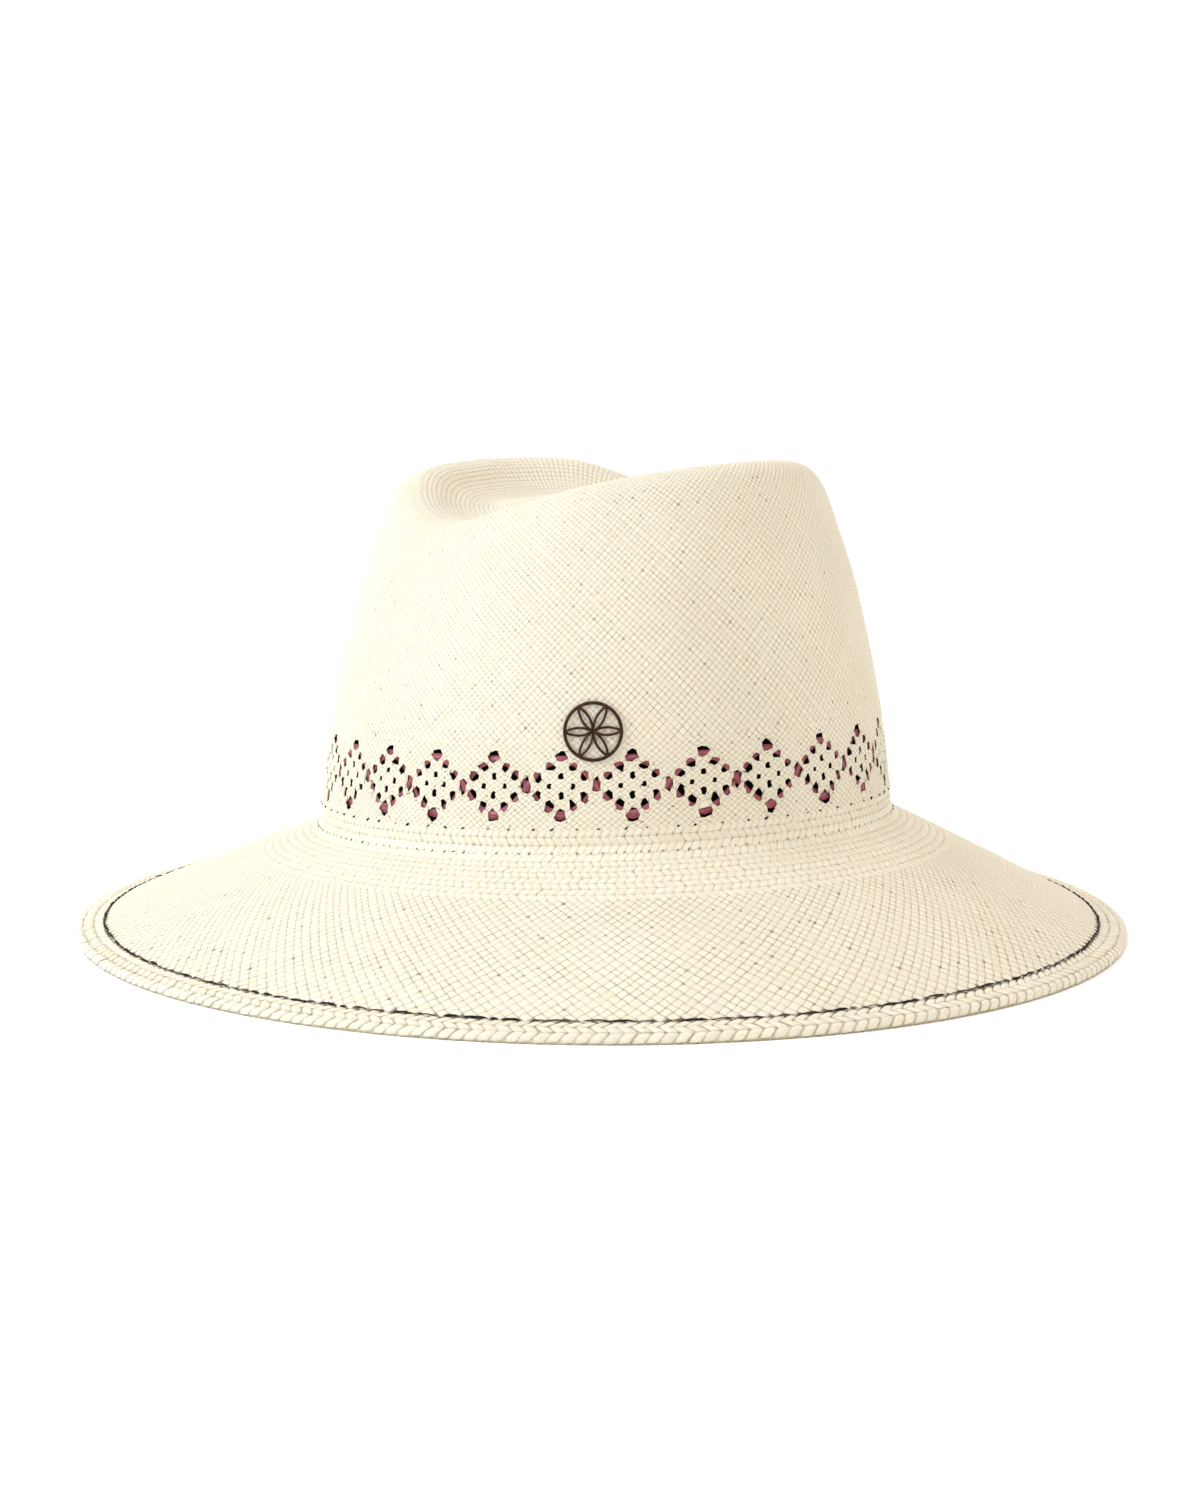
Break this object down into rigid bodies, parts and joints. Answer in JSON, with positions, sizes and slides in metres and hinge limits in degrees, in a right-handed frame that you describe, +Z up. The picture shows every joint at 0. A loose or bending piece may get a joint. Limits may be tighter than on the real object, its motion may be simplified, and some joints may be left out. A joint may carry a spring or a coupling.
{
  "type": "straw fedora",
  "caption": "Straw fedora: woven crown with a dished, hand-shaped top and a pierced diamond band, sloping brim with a braided edge, ribbon sweatband and an openwork badge.",
  "frame": {"origin": "middle of the rim's outline, on the surface that the rim rests on", "axes": "+Z up along the crown, -Y to the front of the hat, X across the head"},
  "size_m": [0.348, 0.354, 0.1617],
  "materials": {
    "woven_straw": "pale natural straw, plain weave, satin",
    "braided_straw": "pale natural straw, braided, satin",
    "grosgrain_ribbon": "black ribbed ribbon, matte",
    "dyed_straw": "burgundy dyed straw, satin",
    "dark_bronze": "dark patinated bronze"
  },
  "bodies": {
    "root": {"crown": "woven_straw", "brim": "woven_straw", "edge_braid": "braided_straw", "sweatband": "grosgrain_ribbon", "zigzag_strand_a": "dyed_straw", "zigzag_strand_b": "dyed_straw", "badge": "dark_bronze"}
  },
  "joints": []
}
